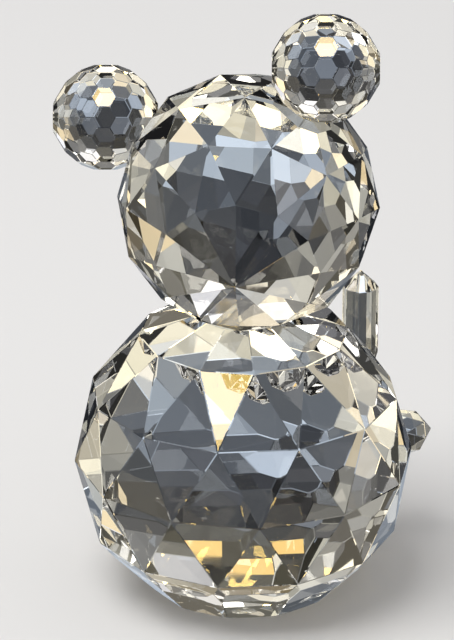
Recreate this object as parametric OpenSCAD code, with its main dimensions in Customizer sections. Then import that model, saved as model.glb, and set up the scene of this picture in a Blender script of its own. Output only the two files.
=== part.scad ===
// Seated bear figurine: cut crystal balls and gems, ground flat where they meet and bonded
// with clear adhesive. The bear faces -Y, its right hand is on -X, and it rests on Z = 0.

/* [Body] */
// Corner-to-corner diameter of the body ball
body_d = 50; // [40:0.5:64]
// Height of the body ball's centre above the resting face, as a share of its radius
body_lift = 0.81; // [0.74:0.01:0.86]
// Turn of the body ball's facets about its upright axis, degrees
body_turn = -9.5; // [-15:0.5:15]
// Slope of the facets ground round the foot, degrees below level
foot_slope = 43; // [38:1:50]
// Depth of the foot facets' planes, as a share of the body's radius
foot_depth = 0.944; // [0.93:0.002:0.95]

/* [Cut] */
// Facets round each row of the two large balls
ball_sides = 12; // [10:1:16]
// Latitude of a large ball's upper row of corners, degrees
high_row = 52.3; // [48:0.1:58]
// Latitude of its next row of corners, degrees
low_row = 25.5; // [22:0.1:29]

/* [Head] */
// Corner-to-corner diameter of the head ball
head_d = 38; // [32:0.2:48]
// Lean of the head towards the bear's left, degrees
head_tilt = 21; // [0:1:30]
// Turn of the head towards the bear's right, degrees
head_turn = -3; // [-20:1:20]
// Nod of the head, degrees
head_nod = 2.5; // [-6:0.5:8]
// How far the head sits off the body's upright axis: [x, y]
head_shift = [-0.5, -0.3];
// Where the pole of the head ball's cut lies: [azimuth, elevation, spin], degrees
head_cut = [104, -26, -6];

/* [Ears] */
// Diameter of the sphere that the ear's facets touch
ear_d = 15.2; // [12:0.2:19]
// Angle of each ear from the crown of the head, degrees
ear_spread = 49; // [42:1:60]
// Facets round each row of an ear
ear_sides = 16; // [12:2:18]
// Angle between two rows of an ear, degrees
ear_row = 19.5; // [18:0.5:21]

/* [Face] */
// Diameter of the muzzle
muzzle_d = 9.6; // [7:0.2:12]
// Angle of the muzzle below the head's level, degrees
muzzle_drop = 12; // [5:1:20]
// Width of the nose stone
nose_d = 3.6; // [2.4:0.1:4.6]
// Height of the nose stone
nose_h = 2.2; // [1.4:0.1:3]
// Width of an eye stone
eye_d = 2.8; // [2:0.1:3.6]
// Height of an eye stone
eye_h = 1.3; // [0.8:0.1:2]
// Angle of each eye from the middle of the face, degrees
eye_spread = 21; // [17:1:28]
// Angle of the eyes above the head's level, degrees
eye_rise = 15; // [10:1:24]

/* [Arms] */
// Width of an arm stone across its corners
arm_w = 5.4; // [4.6:0.2:7]
// Length of an arm stone from its bond to its tip
arm_l = 13.1; // [9:0.1:16]
// Angle of each arm from the middle of the chest, degrees
arm_spread = 30; // [24:1:40]
// Angle of the arms' bonds above the body's middle, degrees
arm_rise = 31.6; // [28:0.2:38]

/* [Legs] */
// Width of a leg stone across its corners
leg_w = 7.6; // [6:0.2:9]
// Length of a leg stone from its bond to its tip
leg_l = 11.4; // [8:0.2:15]
// Angle of each leg from the middle of the belly, degrees
leg_spread = 26; // [18:1:34]
// Angle of the legs below the body's middle, degrees
leg_drop = 8; // [2:1:18]

/* [Bonds] */
// Thickness of every film of adhesive
film_t = 0.1; // [0.05:0.01:0.2]
// Radius of the film in the neck
neck_film_r = 4.6; // [3:0.1:5]
// Radius of the film under each ear
ear_film_r = 1.4; // [0.8:0.1:1.6]
// Radius of the film behind the muzzle
muzzle_film_r = 2.6; // [1.5:0.1:2.8]
// Radius of the film behind the nose and each eye
stone_film_r = 0.9; // [0.5:0.05:1]
// Radius of the film at each arm
arm_film_r = 1.9; // [1:0.1:2.1]
// Radius of the film at each leg
leg_film_r = 2.4; // [1.5:0.1:2.5]

/* [Hidden] */

// Radii and centres
body_r = body_d / 2;
head_r = head_d / 2;
ear_r = ear_d / 2;
muzzle_r = muzzle_d / 2;

// Each flat lies this share of the radius from its ball's centre
neck_share = 0.91;
body_flat = 0.93;
head_flat = 0.93;
ear_flat = 0.975;
muzzle_flat = 0.72;
nose_flat = 0.86;

body_z = body_lift * body_r;
head_z = body_z + neck_share * (body_r + head_r) + film_t;

// Facets of the small stones, and where the nose sits above the muzzle's axis
muzzle_sides = 10;
stone_sides = 8;
nose_rise = 24;

// Where the pole of both ears' cut lies: [azimuth, elevation, spin], degrees
ear_cut = [-151, -17.5, 13.5];
ear_rows = 3;

// Profiles of the stones: [share of the half width, share of the length] from the bond out
limb_top = 2.6;
leg_profile = [[0.76, 0], [1, 0.34], [0.84, 0.7], [0, 1]];
nose_profile = [[0.8, 0], [1, 0.35], [0.62, 0.84], [0.3, 1]];
eye_profile = [[0.92, 0], [1, 0.25], [0.64, 0.8], [0.3, 1]];

crystal = [0.9, 0.94, 0.97, 0.45];
jet = [0.03, 0.03, 0.035];
adhesive = [0.95, 0.95, 0.88, 0.7];

// Corners of one level ring, or the single point of a tip
function ring(sides, r, z, turn = 0) =
    r == 0 ? [[0, 0, z]]
           : [for (k = [0 : sides - 1]) [
                 r * cos(360 * (k + turn) / sides), r * sin(360 * (k + turn) / sides), z
             ]];

// Corners of a large ball: a pole, five staggered rows and a pole, all on one sphere
function ball_points(r) =
    let (rows = [high_row, low_row, 0, -low_row, -high_row])
    concat(
        [[0, 0, r], [0, 0, -r]],
        [for (i = [0 : 4]) each ring(
            ball_sides, r * cos(rows[i]), r * sin(rows[i]), i % 2 == 0 ? 0.5 : 0
        )]
    );

// Unit vector at an azimuth and an elevation
function heading(az, el) = [cos(el) * cos(az), cos(el) * sin(az), sin(el)];

// Point where the planes n . p = 1 of three facets meet
function meet(a, b, c) =
    (cross(b, c) + cross(c, a) + cross(a, b)) / (a * cross(b, c));

// True where no facet of the list cuts the point off
function kept(p, normals) = max([for (n = normals) n * p]) < 1 + 1e-6;

// Facet normals near azimuth 0 of a honeycomb of staggered rows, with both poles
function honeycomb_normals() = concat(
    [[0, 0, 1], [0, 0, -1]],
    [for (i = [-ear_rows : ear_rows], k = [-2 : 2])
        let (az = 360 / ear_sides * (k + (i % 2 == 0 ? 0 : 0.5)))
        heading(az, i * ear_row)]
);

// Corners of the honeycomb ball: those of one column, then the same in every column
function honeycomb_points(r) =
    let (
        n = honeycomb_normals(),
        last = len(n) - 1,
        step = 360 / ear_sides,
        column = [
            for (i = [0 : last - 2], j = [i + 1 : last - 1], k = [j + 1 : last])
                if (abs(n[i] * cross(n[j], n[k])) > 1e-3)
                    let (p = meet(n[i], n[j], n[k]))
                        if (norm(p) < 1.2 && abs(atan2(p.y, p.x)) < 0.6 * step && kept(p, n)) p
        ]
    )
    [for (k = [0 : ear_sides - 1], p = column)
        let (a = k * step)
        r * [p.x * cos(a) - p.y * sin(a), p.x * sin(a) + p.y * cos(a), p.z]];

// Solid whose corners are the given points
module facets(points) {
    hull() polyhedron(points, [[for (i = [0 : len(points) - 1]) i]]);
}

// Stone with a ring of corners at each step of its profile
module stone(profile, width, length, sides = stone_sides) {
    facets([for (i = [0 : len(profile) - 1])
        each ring(sides, profile[i][0] * width / 2, profile[i][1] * length, i % 2 / 2)]);
}

// Turns +Z to a direction, then moves out along it
module out_along(az, el, distance = 0) {
    rotate([0, 90 - el, az]) translate([0, 0, distance]) children();
}

// Everything beyond a plane at a distance along a direction, out to one body diameter
module beyond(az, el, distance) {
    out_along(az, el, distance) translate([-body_d, -body_d, 0]) cube(2 * body_d);
}

// Film of adhesive on a plane at a distance along a direction
module film(r, az, el, distance) {
    color(adhesive) out_along(az, el, distance) cylinder(h = film_t, r = r, $fn = 96);
}

module on_body() {
    translate([0, 0, body_z]) children();
}

module on_head() {
    translate([head_shift.x, head_shift.y, head_z])
        rotate([head_nod, head_tilt, -head_turn]) children();
}

// Where each pair's flat lies, as [azimuth, elevation]; side is 1 on the left, -1 on the right
function ear_at(side) = [90 - 90 * side, 90 - ear_spread];
function eye_at(side) = [-90 + side * eye_spread, eye_rise];
function arm_at(side) = [-90 + side * arm_spread, arm_rise];
function leg_at(side) = [-90 + side * leg_spread, -leg_drop];

module body() {
    flat = body_flat * body_r;
    color(crystal) difference() {
        on_body() rotate([0, 0, body_turn]) facets(ball_points(body_r));
        translate([-body_d, -body_d, -2 * body_d]) cube(2 * body_d);
        on_body() {
            for (k = [0 : ball_sides - 1])
                beyond(body_turn + 360 * (k + 0.5) / ball_sides, -foot_slope, foot_depth * body_r);
            beyond(0, 90, neck_share * body_r);
            for (side = [-1, 1]) {
                beyond(arm_at(side)[0], arm_at(side)[1], flat);
                beyond(leg_at(side)[0], leg_at(side)[1], flat);
            }
        }
    }
}

module head() {
    flat = head_flat * head_r;
    color(crystal) difference() {
        on_head() {
            difference() {
                out_along(head_cut[0], head_cut[1]) rotate([0, 0, head_cut[2]])
                    facets(ball_points(head_r));
                beyond(-90, -muzzle_drop, flat);
                for (side = [-1, 1]) {
                    beyond(ear_at(side)[0], ear_at(side)[1], flat);
                    beyond(eye_at(side)[0], eye_at(side)[1], flat);
                }
            }
        }
        translate([0, 0, head_z]) beyond(0, -90, neck_share * head_r);
    }
}

module ear(side) {
    centre = head_flat * head_r + film_t + ear_flat * ear_r;
    at = ear_at(side);
    color(crystal) on_head() difference() {
        translate(centre * heading(at[0], at[1]))
            out_along(ear_cut[0], ear_cut[1]) rotate([0, 0, ear_cut[2]])
                facets(honeycomb_points(ear_r));
        translate(centre * heading(at[0], at[1]))
            beyond(at[0] + 180, -at[1], ear_flat * ear_r);
    }
}

module muzzle() {
    centre = muzzle_flat * muzzle_r;
    rows = [[0, 1], [cos(50), sin(50)], [cos(17), sin(17)], [cos(17), -sin(17)], [cos(50), -sin(50)]];
    color(crystal) on_head() out_along(-90, -muzzle_drop, head_flat * head_r + film_t)
        difference() {
            translate([0, 0, centre]) facets([for (i = [0 : len(rows) - 1])
                each ring(muzzle_sides, muzzle_r * rows[i][0], muzzle_r * rows[i][1], i % 2 / 2)]);
            beyond(0, -90, 0);
            translate([0, 0, centre]) beyond(180, 90 - nose_rise, nose_flat * muzzle_r);
        }
}

// Puts +Z on the muzzle's nose flat
module on_muzzle(distance = 0) {
    on_head() out_along(-90, -muzzle_drop, head_flat * head_r + film_t + muzzle_flat * muzzle_r)
        out_along(180, 90 - nose_rise, nose_flat * muzzle_r + distance) children();
}

module nose() {
    color(jet) on_muzzle(film_t) stone(nose_profile, nose_d, nose_h);
}

module eye(side) {
    color(jet) on_head() out_along(eye_at(side)[0], eye_at(side)[1], head_flat * head_r + film_t)
        stone(eye_profile, eye_d, eye_h);
}

// Upright stone, cut off along its bond on the body's shoulder
module arm(side) {
    at = arm_at(side);
    foot = body_flat * body_r + film_t;
    color(crystal) on_body() difference() {
        translate(foot * heading(at[0], at[1])) facets(concat(
            ring(stone_sides, 0, arm_l),
            ring(stone_sides, arm_w / 2, arm_l - limb_top, 0.5),
            ring(stone_sides, arm_w / 2, 0, 0.5),
            ring(stone_sides, 0.45 * arm_w / 2, -0.4 * arm_l, 0.5)
        ));
        out_along(at[0] + 180, -at[1], -foot) translate([-arm_l, -arm_l, 0]) cube(2 * arm_l);
    }
}

module leg(side) {
    color(crystal) on_body() out_along(leg_at(side)[0], leg_at(side)[1], body_flat * body_r + film_t)
        stone(leg_profile, leg_w, leg_l);
}

module neck_bond() {
    on_body() film(neck_film_r, 0, 90, neck_share * body_r);
}

module ear_bond(side) {
    on_head() film(ear_film_r, ear_at(side)[0], ear_at(side)[1], head_flat * head_r);
}

module muzzle_bond() {
    on_head() film(muzzle_film_r, -90, -muzzle_drop, head_flat * head_r);
}

module nose_bond() {
    on_muzzle() film(stone_film_r, 0, 90, 0);
}

module eye_bond(side) {
    on_head() film(stone_film_r, eye_at(side)[0], eye_at(side)[1], head_flat * head_r);
}

module arm_bond(side) {
    on_body() film(arm_film_r, arm_at(side)[0], arm_at(side)[1], body_flat * body_r);
}

module leg_bond(side) {
    on_body() film(leg_film_r, leg_at(side)[0], leg_at(side)[1], body_flat * body_r);
}

body();
head();
ear(1);  // ear_left
ear(-1);  // ear_right
muzzle();
nose();
eye(1);  // eye_left
eye(-1);  // eye_right
arm(1);  // arm_left
arm(-1);  // arm_right
leg(1);  // leg_left
leg(-1);  // leg_right
neck_bond();
ear_bond(1);  // ear_bond_left
ear_bond(-1);  // ear_bond_right
muzzle_bond();
nose_bond();
eye_bond(1);  // eye_bond_left
eye_bond(-1);  // eye_bond_right
arm_bond(1);  // arm_bond_left
arm_bond(-1);  // arm_bond_right
leg_bond(1);  // leg_bond_left
leg_bond(-1);  // leg_bond_right
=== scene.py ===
import math

import bmesh
import bpy
from mathutils import Matrix, Vector


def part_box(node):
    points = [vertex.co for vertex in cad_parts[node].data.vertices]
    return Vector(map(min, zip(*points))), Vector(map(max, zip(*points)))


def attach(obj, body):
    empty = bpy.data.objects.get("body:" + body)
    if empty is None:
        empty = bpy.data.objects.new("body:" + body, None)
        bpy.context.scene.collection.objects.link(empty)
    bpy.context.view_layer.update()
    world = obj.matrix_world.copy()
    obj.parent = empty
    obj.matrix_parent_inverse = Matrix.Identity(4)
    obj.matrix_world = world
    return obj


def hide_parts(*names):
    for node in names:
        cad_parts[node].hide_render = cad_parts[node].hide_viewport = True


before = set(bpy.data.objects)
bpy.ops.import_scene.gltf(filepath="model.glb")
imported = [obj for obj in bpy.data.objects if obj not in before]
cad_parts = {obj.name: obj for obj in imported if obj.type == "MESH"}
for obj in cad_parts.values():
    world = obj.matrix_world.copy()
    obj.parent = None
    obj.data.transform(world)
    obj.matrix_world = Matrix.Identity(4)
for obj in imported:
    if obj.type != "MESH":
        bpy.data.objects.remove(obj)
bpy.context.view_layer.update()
scene = bpy.context.scene
scene.view_settings.view_transform = "Standard"

# The table: a plain pale board, painted matt, which the bear stands on. The
# crystal looks past it into the darker room, so that its facets stand out.
board = bmesh.new()
bmesh.ops.create_grid(board, x_segments=1, y_segments=1, size=2.5)
board_data = bpy.data.meshes.new("table")
board.to_mesh(board_data)
board.free()
table = bpy.data.objects.new("table", board_data)
scene.collection.objects.link(table)
table_paint = bpy.data.materials.new("matt_table_paint")
table_paint.use_nodes = True
paint = table_paint.node_tree.nodes["Principled BSDF"]
paint.inputs["Base Color"].default_value = (0.66, 0.655, 0.65, 1)
paint.inputs["Roughness"].default_value = 0.9
paint.inputs["Specular IOR Level"].default_value = 0.1
board_data.materials.append(table_paint)
table.visible_transmission = False
table.visible_glossy = False

# The room: pale and even where it is seen past the table. The crystal bends
# into view cream walls and bright panes, with a dark hollow in front of the
# bear and an unlit end opposite.
room = bpy.data.worlds.new("room")
room.use_nodes = True
room_tree = room.node_tree
direction = room_tree.nodes.new("ShaderNodeTexCoord").outputs["Generated"]


def toward(azimuth, elevation):
    turn, rise = math.radians(azimuth), math.radians(elevation)
    level = math.cos(rise)
    return Vector((math.sin(turn) * level, -math.cos(turn) * level, math.sin(rise)))


def between(value, low, high):
    span = room_tree.nodes.new("ShaderNodeMapRange")
    span.inputs["From Min"].default_value = low
    span.inputs["From Max"].default_value = high
    room_tree.links.new(value, span.inputs["Value"])
    return span.outputs[0]


def ramp_over(value, tones):
    ramp = room_tree.nodes.new("ShaderNodeValToRGB")
    ends = ramp.color_ramp.elements
    ends[0].position, ends[0].color = tones[0][0], (*tones[0][1], 1)
    ends[1].position, ends[1].color = tones[-1][0], (*tones[-1][1], 1)
    for position, colour in tones[1:-1]:
        ends.new(position).color = (*colour, 1)
    room_tree.links.new(value, ramp.inputs["Fac"])
    return ramp.outputs["Color"]


def random_tones(scale, tones):
    patches = room_tree.nodes.new("ShaderNodeTexVoronoi")
    patches.inputs["Scale"].default_value = scale
    room_tree.links.new(direction, patches.inputs["Vector"])
    parts = room_tree.nodes.new("ShaderNodeSeparateColor")
    room_tree.links.new(patches.outputs["Color"], parts.inputs[0])
    return ramp_over(parts.outputs["Red"], tones)


def mixed(kind, factor, a, b):
    mix = room_tree.nodes.new("ShaderNodeMix")
    mix.data_type = "RGBA"
    mix.blend_type = kind
    for label, value in (("Factor", factor), ("A", a), ("B", b)):
        if isinstance(value, bpy.types.NodeSocket):
            room_tree.links.new(value, mix.inputs[label])
        else:
            mix.inputs[label].default_value = value
    return mix.outputs["Result"]


parts_of_direction = room_tree.nodes.new("ShaderNodeSeparateXYZ")
room_tree.links.new(direction, parts_of_direction.inputs[0])
height = between(parts_of_direction.outputs["Z"], -1, 1)
facing_hollow = room_tree.nodes.new("ShaderNodeVectorMath")
facing_hollow.operation = "DOT_PRODUCT"
facing_hollow.inputs[1].default_value = toward(28, -22)
room_tree.links.new(direction, facing_hollow.inputs[0])
away_from_unlit_end = between(facing_hollow.outputs["Value"], -1, 1)
inside_hollow = between(facing_hollow.outputs["Value"], 0.68, 0.84)

large_patches = random_tones(4.5, (
    (0.0, (0.07, 0.07, 0.075)),
    (0.16, (0.14, 0.14, 0.145)),
    (0.28, (0.38, 0.38, 0.37)),
    (0.5, (0.62, 0.61, 0.55)),
    (0.78, (0.9, 0.88, 0.83)),
    (0.9, (0.95, 0.78, 0.5)),
    (1.0, (1.5, 1.55, 1.7)),
))
small_patches = random_tones(15, (
    (0.0, (0.4, 0.41, 0.44)),
    (0.35, (0.85, 0.85, 0.87)),
    (0.7, (1.1, 1.1, 1.1)),
    (1.0, (2.0, 1.95, 1.8)),
))
unlit_end = ramp_over(away_from_unlit_end, (
    (0.0, (0.25, 0.25, 0.27)),
    (0.12, (0.3, 0.3, 0.32)),
    (0.25, (1, 1, 1)),
    (1.0, (1, 1, 1)),
))
warm_below = ramp_over(height, (
    (0.0, (1.8, 1.7, 1.4)),
    (0.2, (1.5, 1.42, 1.2)),
    (0.4, (1.1, 1.08, 1)),
    (0.6, (1, 1, 1)),
    (1.0, (1, 1, 1)),
))
fading_hollow = ramp_over(height, (
    (0.0, (0.6, 0.58, 0.5)),
    (0.08, (0.42, 0.44, 0.45)),
    (0.16, (0.25, 0.28, 0.315)),
    (0.24, (0.2, 0.225, 0.26)),
    (0.33, (0.09, 0.1, 0.115)),
    (0.4, (0.03, 0.032, 0.036)),
    (0.53, (0.02, 0.021, 0.024)),
    (0.62, (0.05, 0.046, 0.04)),
    (0.7, (0.3, 0.29, 0.26)),
    (1.0, (0.5, 0.48, 0.42)),
))
sheen = random_tones(9, (
    (0.0, (0.2, 0.2, 0.21)),
    (0.4, (0.65, 0.66, 0.68)),
    (0.65, (1.35, 1.4, 1.45)),
    (0.85, (2.3, 2.35, 2.4)),
    (1.0, (3.2, 3.25, 3.3)),
))
patched_walls = mixed("MULTIPLY", 1.0, large_patches, small_patches)
walls = mixed("MULTIPLY", 1.0, patched_walls, mixed("MULTIPLY", 1.0, unlit_end, warm_below))
hollow = mixed("MULTIPLY", 1.0, fading_hollow, sheen)
bent_room = mixed("MIX", inside_hollow, walls, hollow)
plain_grey = (0.6, 0.6, 0.61, 1)
seen_by = room_tree.nodes.new("ShaderNodeLightPath")
by_crystal = room_tree.nodes.new("ShaderNodeMath")
by_crystal.operation = "MAXIMUM"
room_tree.links.new(seen_by.outputs["Is Glossy Ray"], by_crystal.inputs[0])
room_tree.links.new(seen_by.outputs["Is Transmission Ray"], by_crystal.inputs[1])
shown_room = mixed("MIX", by_crystal.outputs[0], plain_grey, bent_room)
room_tree.links.new(shown_room, room_tree.nodes["Background"].inputs["Color"])
scene.world = room

# The lamp: one broad soft lamp, high behind the bear's left shoulder, lights
# the table. The crystal doesn't mirror it: the cards below give the flashes.
middle = Vector((0, 0, 0.045))
lamp_side = toward(150, 68)
lamp_distance = 1.3
soft = bpy.data.lights.new("soft_lamp", "AREA")
soft.shape = "DISK"
soft.size = 0.9
soft.energy = 14
soft.color = (1, 0.99, 0.97)
soft_lamp = bpy.data.objects.new("soft_lamp", soft)
soft_lamp.location = middle + lamp_distance * lamp_side
soft_lamp.rotation_euler = lamp_side.to_track_quat("Z", "Y").to_euler()
soft_lamp.visible_glossy = False
soft_lamp.visible_transmission = False
scene.collection.objects.link(soft_lamp)

# The cards: glowing boards stood round the table, a metre from the bear. Small
# gold ones flash in single facets, and wide white ones light the rims.


def card(name, azimuth, elevation, width, tall, strength, colour):
    away = toward(azimuth, elevation)
    stand = Matrix.Translation(middle + away) @ away.to_track_quat("Z", "Y").to_matrix().to_4x4()
    sheet = bmesh.new()
    bmesh.ops.create_grid(sheet, x_segments=1, y_segments=1, size=0.5)
    bmesh.ops.scale(sheet, vec=(width, tall, 1), verts=sheet.verts)
    bmesh.ops.transform(sheet, matrix=stand, verts=sheet.verts)
    data = bpy.data.meshes.new(name)
    sheet.to_mesh(data)
    sheet.free()
    glow = bpy.data.materials.new(name)
    glow.use_nodes = True
    nodes = glow.node_tree.nodes
    nodes.remove(nodes["Principled BSDF"])
    shine = nodes.new("ShaderNodeEmission")
    shine.inputs["Color"].default_value = (*colour, 1)
    shine.inputs["Strength"].default_value = strength
    glow.node_tree.links.new(shine.outputs[0], nodes["Material Output"].inputs["Surface"])
    data.materials.append(glow)
    piece = bpy.data.objects.new(name, data)
    piece.visible_camera = False
    piece.visible_diffuse = False
    piece.visible_shadow = False
    scene.collection.objects.link(piece)


gold = (1, 0.7, 0.2)
amber = (1, 0.66, 0.22)
card("gold_flash_low", 185, 55, 0.1, 0.1, 15, gold)
card("gold_flash_high", 206, 68, 0.16, 0.1, 15, gold)
card("gold_low_left", 23, 7, 0.055, 0.045, 1.1, amber)
card("gold_low_middle", 30, 14, 0.03, 0.02, 1.1, amber)
card("gold_low_right", 39, 6, 0.03, 0.02, 1.1, amber)
card("lamp_front", 40, 29, 0.14, 0.1, 1.5, (1, 0.95, 0.85))
card("shelf_front", 41, 12, 0.22, 0.03, 0.9, (1, 0.92, 0.75))
card("window_right_side", 270, 50, 0.2, 0.14, 1.8, (1, 0.98, 0.95))
card("window_right", 226, 52, 0.3, 0.22, 5.0, (1, 0.96, 0.86))
card("window_low_left", 190, 30, 0.3, 0.16, 2.6, (0.9, 0.95, 1))
card("window_low_right", 220, 17, 0.3, 0.16, 2.2, (0.88, 0.94, 1))
card("window_side", 260, 30, 0.3, 0.16, 2.4, (1, 0.97, 0.95))

# The camera: a long lens behind the bear's right shoulder, looking down on it
# from arm's length. It is aimed just below the neck.
body_low, body_high = (Vector(corner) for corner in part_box("body"))
body_middle = (body_low + body_high) / 2
eye_line = toward(210, 25.5)
eye_distance = 0.625
eye_right = Vector((0, 0, 1)).cross(eye_line).normalized()
eye_up = eye_line.cross(eye_right)
aim_above = 0.0186
aim_aside = 0.0025
aim = body_middle + aim_above * eye_up - aim_aside * eye_right
lens = bpy.data.cameras.new("long_lens")
lens.sensor_fit = "VERTICAL"
lens.sensor_height = 24
lens.lens = 158.8
lens.clip_start = 0.05
lens.clip_end = 20
camera = bpy.data.objects.new("camera", lens)
camera.location = body_middle + eye_distance * eye_line
camera.rotation_euler = (camera.location - aim).to_track_quat("Z", "Y").to_euler()
scene.collection.objects.link(camera)
scene.camera = camera

# The films of adhesive: clear cement set between two ground flats, a tenth of
# a millimetre thick, with a few bubbles. Each is drawn a hair thinner than its
# gap. The handling group draws finger grease, dust and the ripple of the lap.
handling = bpy.data.node_groups.new("handling", "ShaderNodeTree")
handling.interface.new_socket("Vector", in_out="INPUT", socket_type="NodeSocketVector")
for label, amount in (("Smudge Scale", 90.0), ("Dust Scale", 900.0), ("Ripple Scale", 260.0)):
    socket = handling.interface.new_socket(label, in_out="INPUT", socket_type="NodeSocketFloat")
    socket.default_value = amount
for label in ("Smudge", "Dust", "Ripple"):
    handling.interface.new_socket(label, in_out="OUTPUT", socket_type="NodeSocketFloat")
into = handling.nodes.new("NodeGroupInput")
out = handling.nodes.new("NodeGroupOutput")


def handling_pattern(kind, scale):
    pattern = handling.nodes.new(kind)
    handling.links.new(into.outputs["Vector"], pattern.inputs["Vector"])
    handling.links.new(into.outputs[scale], pattern.inputs["Scale"])
    return pattern


def handling_mask(value, start, full, label):
    mask = handling.nodes.new("ShaderNodeMapRange")
    mask.inputs["From Min"].default_value = start
    mask.inputs["From Max"].default_value = full
    handling.links.new(value, mask.inputs["Value"])
    handling.links.new(mask.outputs[0], out.inputs[label])


smears = handling_pattern("ShaderNodeTexNoise", "Smudge Scale")
smears.inputs["Detail"].default_value = 4
smears.inputs["Distortion"].default_value = 1.2
handling_mask(smears.outputs["Fac"], 0.52, 0.75, "Smudge")
specks = handling_pattern("ShaderNodeTexVoronoi", "Dust Scale")
handling_mask(specks.outputs["Distance"], 0.14, 0.06, "Dust")
ripples = handling_pattern("ShaderNodeTexNoise", "Ripple Scale")
ripples.inputs["Detail"].default_value = 1
handling.links.new(ripples.outputs["Fac"], out.inputs["Ripple"])


def handled(tree, scales):
    place = tree.nodes.new("ShaderNodeTexCoord")
    marks = tree.nodes.new("ShaderNodeGroup")
    marks.node_tree = handling
    for label, amount in scales.items():
        marks.inputs[label].default_value = amount
    tree.links.new(place.outputs["Object"], marks.inputs["Vector"])
    return marks


def tinted(tree, mask, plain, marked):
    tint = tree.nodes.new("ShaderNodeMix")
    tint.data_type = "RGBA"
    tree.links.new(mask, tint.inputs["Factor"])
    for label, colour in (("A", plain), ("B", marked)):
        if isinstance(colour, bpy.types.NodeSocket):
            tree.links.new(colour, tint.inputs[label])
        else:
            tint.inputs[label].default_value = colour
    return tint.outputs["Result"]


def weakened(tree, mask, share):
    haze = tree.nodes.new("ShaderNodeMath")
    haze.operation = "MULTIPLY"
    haze.inputs[1].default_value = share
    tree.links.new(mask, haze.inputs[0])
    return haze.outputs[0]


cement = bpy.data.materials.new("clear_cement")
cement.use_nodes = True
tree = cement.node_tree
glue = tree.nodes["Principled BSDF"]
glue.inputs["IOR"].default_value = 1.5
glue.inputs["Transmission Weight"].default_value = 1
marks = handled(tree, {"Smudge Scale": 400, "Dust Scale": 2500})
bubbled = tinted(tree, marks.outputs["Dust"], (1, 0.99, 0.95, 1), (0.93, 0.92, 0.86, 1))
tree.links.new(bubbled, glue.inputs["Base Color"])
tree.links.new(weakened(tree, marks.outputs["Smudge"], 0.08), glue.inputs["Roughness"])

film_share = 0.97
film_weld = 1e-7
films = []
for name in sorted(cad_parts):
    if "_bond" not in name:
        continue
    film = bmesh.new()
    film.from_mesh(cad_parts[name].data)
    bmesh.ops.remove_doubles(film, verts=film.verts, dist=film_weld)
    axis = max(film.faces, key=lambda f: f.calc_area()).normal.copy()
    centre = sum((v.co for v in film.verts), Vector()) / len(film.verts)
    offsets = [v.co - centre for v in film.verts]
    half = max(abs(o.dot(axis)) for o in offsets)
    radius = max((o - o.dot(axis) * axis).length for o in offsets)
    films.append((centre, axis, radius, half))
    lying = Matrix.Translation(centre) @ axis.to_track_quat("Z", "Y").to_matrix().to_4x4()
    thinner = lying @ Matrix.Diagonal((1, 1, film_share, 1)) @ lying.inverted()
    bmesh.ops.transform(film, matrix=thinner, verts=film.verts)
    bmesh.ops.dissolve_limit(film, angle_limit=0.01, verts=film.verts, edges=film.edges)
    data = bpy.data.meshes.new(name + "_film")
    film.to_mesh(data)
    film.free()
    data.materials.append(cement)
    piece = bpy.data.objects.new(name + "_film", data)
    scene.collection.objects.link(piece)
    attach(piece, "root")
    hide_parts(name)

# The body: a ball of lead crystal, cut with rows of flat facets and polished.
# The wheel just breaks each edge between two facets. Where a film wets one of
# its flats, light passes straight from the stone to the film.


def crystal_finish(name, tint_clear, tint_thick, smear, ripple, ripple_scale):
    finish = bpy.data.materials.new(name)
    finish.use_nodes = True
    tree = finish.node_tree
    glass = tree.nodes["Principled BSDF"]
    glass.inputs["IOR"].default_value = 1.56
    glass.inputs["Transmission Weight"].default_value = 1
    marks = handled(tree, {"Ripple Scale": ripple_scale})
    tint = tinted(tree, marks.outputs["Ripple"], tint_clear, tint_thick)
    dusted = tinted(tree, marks.outputs["Dust"], tint, (0.86, 0.87, 0.88, 1))
    tree.links.new(dusted, glass.inputs["Base Color"])
    tree.links.new(weakened(tree, marks.outputs["Smudge"], smear), glass.inputs["Roughness"])
    lap = tree.nodes.new("ShaderNodeBump")
    lap.inputs["Strength"].default_value = ripple
    lap.inputs["Distance"].default_value = 0.00001
    tree.links.new(marks.outputs["Ripple"], lap.inputs["Height"])
    tree.links.new(lap.outputs["Normal"], glass.inputs["Normal"])
    return finish


ball_crystal = crystal_finish(
    "ball_crystal", tint_clear=(0.97, 0.985, 1, 1), tint_thick=(1, 0.99, 0.97, 1),
    smear=0.05, ripple=0.25, ripple_scale=120,
)
wetted = bpy.data.materials.new("flat_wetted_by_cement")
wetted.use_nodes = True
tree = wetted.node_tree
pass_through = tree.nodes["Principled BSDF"]
pass_through.inputs["Roughness"].default_value = 0
pass_through.inputs["IOR"].default_value = 1
pass_through.inputs["Transmission Weight"].default_value = 1
marks = handled(tree, {"Dust Scale": 2500})
bubbled = tinted(tree, marks.outputs["Dust"], (1, 1, 1, 1), (0.85, 0.85, 0.83, 1))
tree.links.new(bubbled, pass_through.inputs["Base Color"])

ball_edge = 0.0001
stone_weld = 1e-6
one_facet = math.radians(0.6)
in_line = 0.99999
in_plane = 2e-6
furthest_film = 0.006
film_sides = 16


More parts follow.
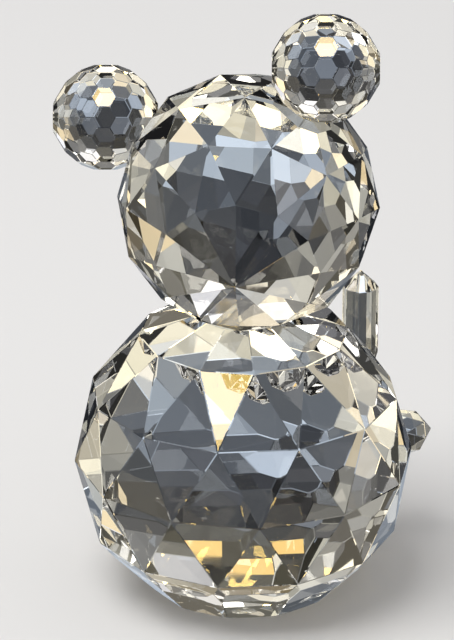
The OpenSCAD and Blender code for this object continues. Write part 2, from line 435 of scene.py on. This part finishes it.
def cut_stone(name, edge, finish, clear=True):
    stone = bmesh.new()
    stone.from_mesh(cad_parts[name].data)
    bmesh.ops.remove_doubles(stone, verts=stone.verts, dist=stone_weld)
    bmesh.ops.dissolve_limit(stone, angle_limit=one_facet, verts=stone.verts, edges=stone.edges)
    bmesh.ops.bevel(
        stone, geom=stone.edges[:], offset=edge, offset_type="OFFSET", affect="EDGES",
        segments=1, profile=0.5, material=-1, clamp_overlap=True,
    )
    for centre, axis, radius, half in films:
        flats = [
            f for f in stone.faces
            if abs(f.normal.dot(axis)) > in_line
            and abs((f.verts[0].co - centre).dot(axis)) < half + in_plane
            and (f.calc_center_median() - centre).length < furthest_film
        ]
        if not flats or not clear:
            continue
        flat = max(flats, key=lambda f: f.calc_area())
        across = axis.orthogonal().normalized()
        for k in range(film_sides):
            side = Matrix.Rotation(math.radians(360 / film_sides * k), 3, axis) @ across
            shared = bmesh.ops.bisect_plane(
                stone, geom=[flat, *flat.edges, *flat.verts], dist=film_weld,
                plane_co=centre + radius * side, plane_no=side,
            )["geom"]
            flat = min(
                (f for f in shared if isinstance(f, bmesh.types.BMFace)),
                key=lambda f: (f.calc_center_median() - centre).length,
            )
        flat.material_index = 1
    for facet in stone.faces:
        facet.smooth = False
    data = bpy.data.meshes.new(name + "_stone")
    stone.to_mesh(data)
    stone.free()
    data.materials.append(finish)
    if clear:
        data.materials.append(wetted)
    piece = bpy.data.objects.new(name + "_stone", data)
    scene.collection.objects.link(piece)
    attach(piece, "root")
    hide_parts(name)


cut_stone("body", ball_edge, ball_crystal)

# The head: a smaller ball of the same crystal, cut in the same rows round an
# axis of its own. It is cemented on the flat at the top of the body.
cut_stone("head", ball_edge, ball_crystal)

# The ears: small crystal balls, cut all over with a honeycomb of hexagons.
# Each is cemented by one small flat to a flat ground high on the head.
small_edge = 0.00006
ear_crystal = crystal_finish(
    "ear_crystal", tint_clear=(0.95, 0.97, 1, 1), tint_thick=(1, 0.985, 0.98, 1),
    smear=0.04, ripple=0.3, ripple_scale=300,
)
for side in ("left", "right"):
    cut_stone("ear_" + side, small_edge, ear_crystal)

# The muzzle: a small ball of crystal cut with ten sides, ground flat behind
# for the face and in front for the nose.
limb_crystal = crystal_finish(
    "limb_crystal", tint_clear=(0.96, 0.975, 1, 1), tint_thick=(1, 0.985, 0.96, 1),
    smear=0.06, ripple=0.3, ripple_scale=200,
)
cut_stone("muzzle", small_edge, limb_crystal)

# The arms: short upright crystal prisms that come to a point, of the muzzle's
# crystal. Each is cemented by a flat to the upper front of the body.
for side in ("left", "right"):
    cut_stone("arm_" + side, small_edge, limb_crystal)

# The legs: stubby crystal stones that widen and come to a point. They are
# cemented just below the middle of the body's front, as feet that stick out.
for side in ("left", "right"):
    cut_stone("leg_" + side, small_edge, limb_crystal)

# The nose and the eyes: small button stones of opaque black glass, cut with
# eight sides, polished and cemented on by their backs.
jet = bpy.data.materials.new("jet")
jet.use_nodes = True
tree = jet.node_tree
black = tree.nodes["Principled BSDF"]
black.inputs["Coat Weight"].default_value = 0.5
marks = handled(tree, {})
smudged = tinted(tree, marks.outputs["Smudge"], (0.006, 0.006, 0.008, 1), (0.03, 0.03, 0.034, 1))
tree.links.new(smudged, black.inputs["Base Color"])
gloss = tree.nodes.new("ShaderNodeMapRange")
gloss.inputs["To Min"].default_value = 0.05
gloss.inputs["To Max"].default_value = 0.22
tree.links.new(marks.outputs["Smudge"], gloss.inputs["Value"])
tree.links.new(gloss.outputs[0], black.inputs["Roughness"])
jet_edge = 0.00005
for name in ("nose", "eye_left", "eye_right"):
    cut_stone(name, jet_edge, jet, clear=False)
